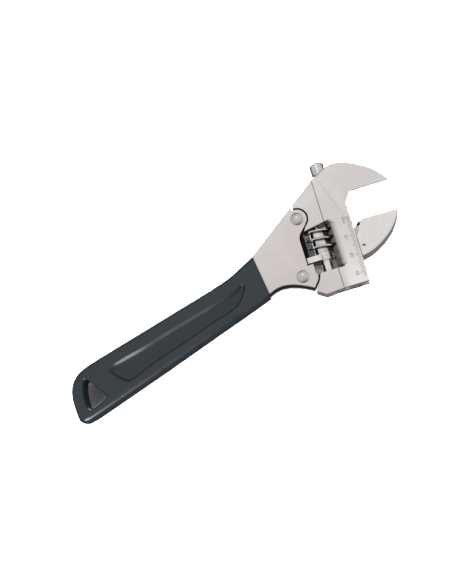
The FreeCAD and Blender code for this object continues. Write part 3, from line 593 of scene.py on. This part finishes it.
# ------------------------------------------------------------ stage, light, camera
floor_me = bpy.data.meshes.new("floor")
S = 4.0
floor_me.from_pydata([(-S, -S, -0.0004), (S, -S, -0.0004), (S, S, -0.0004), (-S, S, -0.0004)], [], [(0, 1, 2, 3)])
floor = bpy.data.objects.new("floor", floor_me)
scene.collection.objects.link(floor)
fm = bpy.data.materials.new("floor_white")
fm.use_nodes = True
t = fm.node_tree
t.nodes.clear()
out = t.nodes.new("ShaderNodeOutputMaterial")
add = t.nodes.new("ShaderNodeAddShader")
em = t.nodes.new("ShaderNodeEmission")
em.inputs["Color"].default_value = (1, 1, 1, 1)
em.inputs["Strength"].default_value = 0.02
df = t.nodes.new("ShaderNodeBsdfDiffuse")
df.inputs["Color"].default_value = (0.16, 0.16, 0.16, 1)
tr = t.nodes.new("ShaderNodeBsdfTransparent")
mx = t.nodes.new("ShaderNodeMixShader")
gm = t.nodes.new("ShaderNodeNewGeometry")
t.links.new(em.outputs[0], add.inputs[0])
t.links.new(df.outputs[0], add.inputs[1])
t.links.new(gm.outputs["Backfacing"], mx.inputs[0])
t.links.new(add.outputs[0], mx.inputs[1])
t.links.new(tr.outputs[0], mx.inputs[2])
t.links.new(mx.outputs[0], out.inputs[0])
floor_me.materials.append(fm)
floor.visible_glossy = False
floor.visible_diffuse = False
floor.visible_shadow = False

world = bpy.data.worlds.new("studio")
scene.world = world
world.use_nodes = True
wt = world.node_tree
wt.nodes.clear()
wo = wt.nodes.new("ShaderNodeOutputWorld")
bg = wt.nodes.new("ShaderNodeBackground")
tc = wt.nodes.new("ShaderNodeTexCoord")
sp = wt.nodes.new("ShaderNodeSeparateXYZ")
ramp = wt.nodes.new("ShaderNodeValToRGB")
mp = wt.nodes.new("ShaderNodeMapRange")
mp.inputs["From Min"].default_value = -1.0
mp.inputs["From Max"].default_value = 1.0
wt.links.new(tc.outputs["Generated"], sp.inputs[0])


def world_dot(v):
    n = wt.nodes.new("ShaderNodeVectorMath")
    n.operation = "DOT_PRODUCT"
    wt.links.new(tc.outputs["Generated"], n.inputs[0])
    n.inputs[1].default_value = tuple(v)
    return n.outputs["Value"]


def world_math(op, x, y=None):
    n = wt.nodes.new("ShaderNodeMath")
    n.operation = op
    for k, v in enumerate((x, y)):
        if v is None:
            continue
        if isinstance(v, (int, float)):
            n.inputs[k].default_value = v
        else:
            wt.links.new(v, n.inputs[k])
    return n.outputs[0]


near = world_math("MULTIPLY", world_math("MAXIMUM", world_dot(-BDIR), 0.0), -0.45)
side = world_math("MULTIPLY", world_math("ABSOLUTE", world_dot(ADIR)), 0.45)
wt.links.new(world_math("ADD", sp.outputs["Z"], world_math("ADD", near, side)), mp.inputs["Value"])
wt.links.new(mp.outputs[0], ramp.inputs[0])
wt.links.new(ramp.outputs[0], bg.inputs[0])
wt.links.new(bg.outputs[0], wo.inputs[0])
cr = ramp.color_ramp
cr.elements[0].position = 0.0
cr.elements[0].color = (0.045, 0.045, 0.045, 1)
cr.elements[1].position = 1.0
cr.elements[1].color = (0.86, 0.86, 0.86, 1)
for p, v in ((0.14, 0.035), (0.30, 0.03), (0.46, 0.035), (0.56, 0.14), (0.66, 0.48), (0.76, 0.82)):
    e = cr.elements.new(p)
    e.color = (v, v * 0.99, v * 0.985, 1)
bg.inputs["Strength"].default_value = 1.0


def area(name, loc, target, sx, sy, power, color=(1, 1, 1)):
    ld = bpy.data.lights.new(name, "AREA")
    ld.shape = "RECTANGLE"
    ld.size, ld.size_y = sx, sy
    ld.energy = power
    ld.color = color
    o = bpy.data.objects.new(name, ld)
    scene.collection.objects.link(o)
    o.location = loc
    o.rotation_mode = "QUATERNION"
    o.rotation_quaternion = (Vector(target) - Vector(loc)).to_track_quat("-Z", "Y")
    return o


area("key", (0.3, 0.9, 1.9), (0, 0, 0), 1.0, 1.0, 1.6)
edge_light = area("edge", (-0.405, -0.86, 0.20), (-0.08, 0, 0), 0.33, 0.20, 10.0)
area("back", (0.1, 0.75, -1.0), (0, 0, 0), 1.2, 1.0, 16.0)
# side boxes light the floor and the ground jaw faces only, so gaps and holes stay shaded
def only(light, objects):
    c = bpy.data.collections.new("lit_by_" + light.name)
    for q in objects:
        c.objects.link(q)
    light.light_linking.receiver_collection = c


only(edge_light, [bpy.data.objects["grip_skin"]])
under = area("under", (0.0, 0.0, -1.0), (0, 0, 0), 2.0, 2.0, 2.8)
only(under, [N[k] for k in ("head", "movable_jaw", "front_cheek", "back_cheek", "jaw_plunger")])
for i, (v, power) in enumerate(((ADIR, 860.0), (-ADIR, 610.0), (BDIR, 610.0), (-BDIR, 610.0))):
    side_box = area("side%d" % i, (v[0] * 1.5, v[1] * 1.5, 0.5), (0, 0, 0), 1.0, 1.0, power)
    side_box.visible_glossy = False
    side_box.data.specular_factor = 0.0
    only(side_box, [floor, N["head"]])

cam_data = bpy.data.cameras.new("camera")
cam_data.lens = 77.8
cam_data.sensor_width = 36.0
cam_data.sensor_fit = "AUTO"
cam_data.clip_start, cam_data.clip_end = 0.01, 20.0
cam = bpy.data.objects.new("camera", cam_data)
scene.collection.objects.link(cam)
pos = row(-4.5986, -128.0998, 653.0)
tgt = row(0, 0, 0)
back = (pos - tgt).normalized()
up = Vector((0.5395, 0.8420, 0.0))
right = up.cross(back).normalized()
up = back.cross(right).normalized()
R = Matrix((right, up, back)).transposed()
cam.rotation_mode = "QUATERNION"
cam.rotation_quaternion = R.to_quaternion()
cam.location = pos
scene.camera = cam
scene.view_settings.view_transform = "Standard"
scene.view_settings.look = "None"
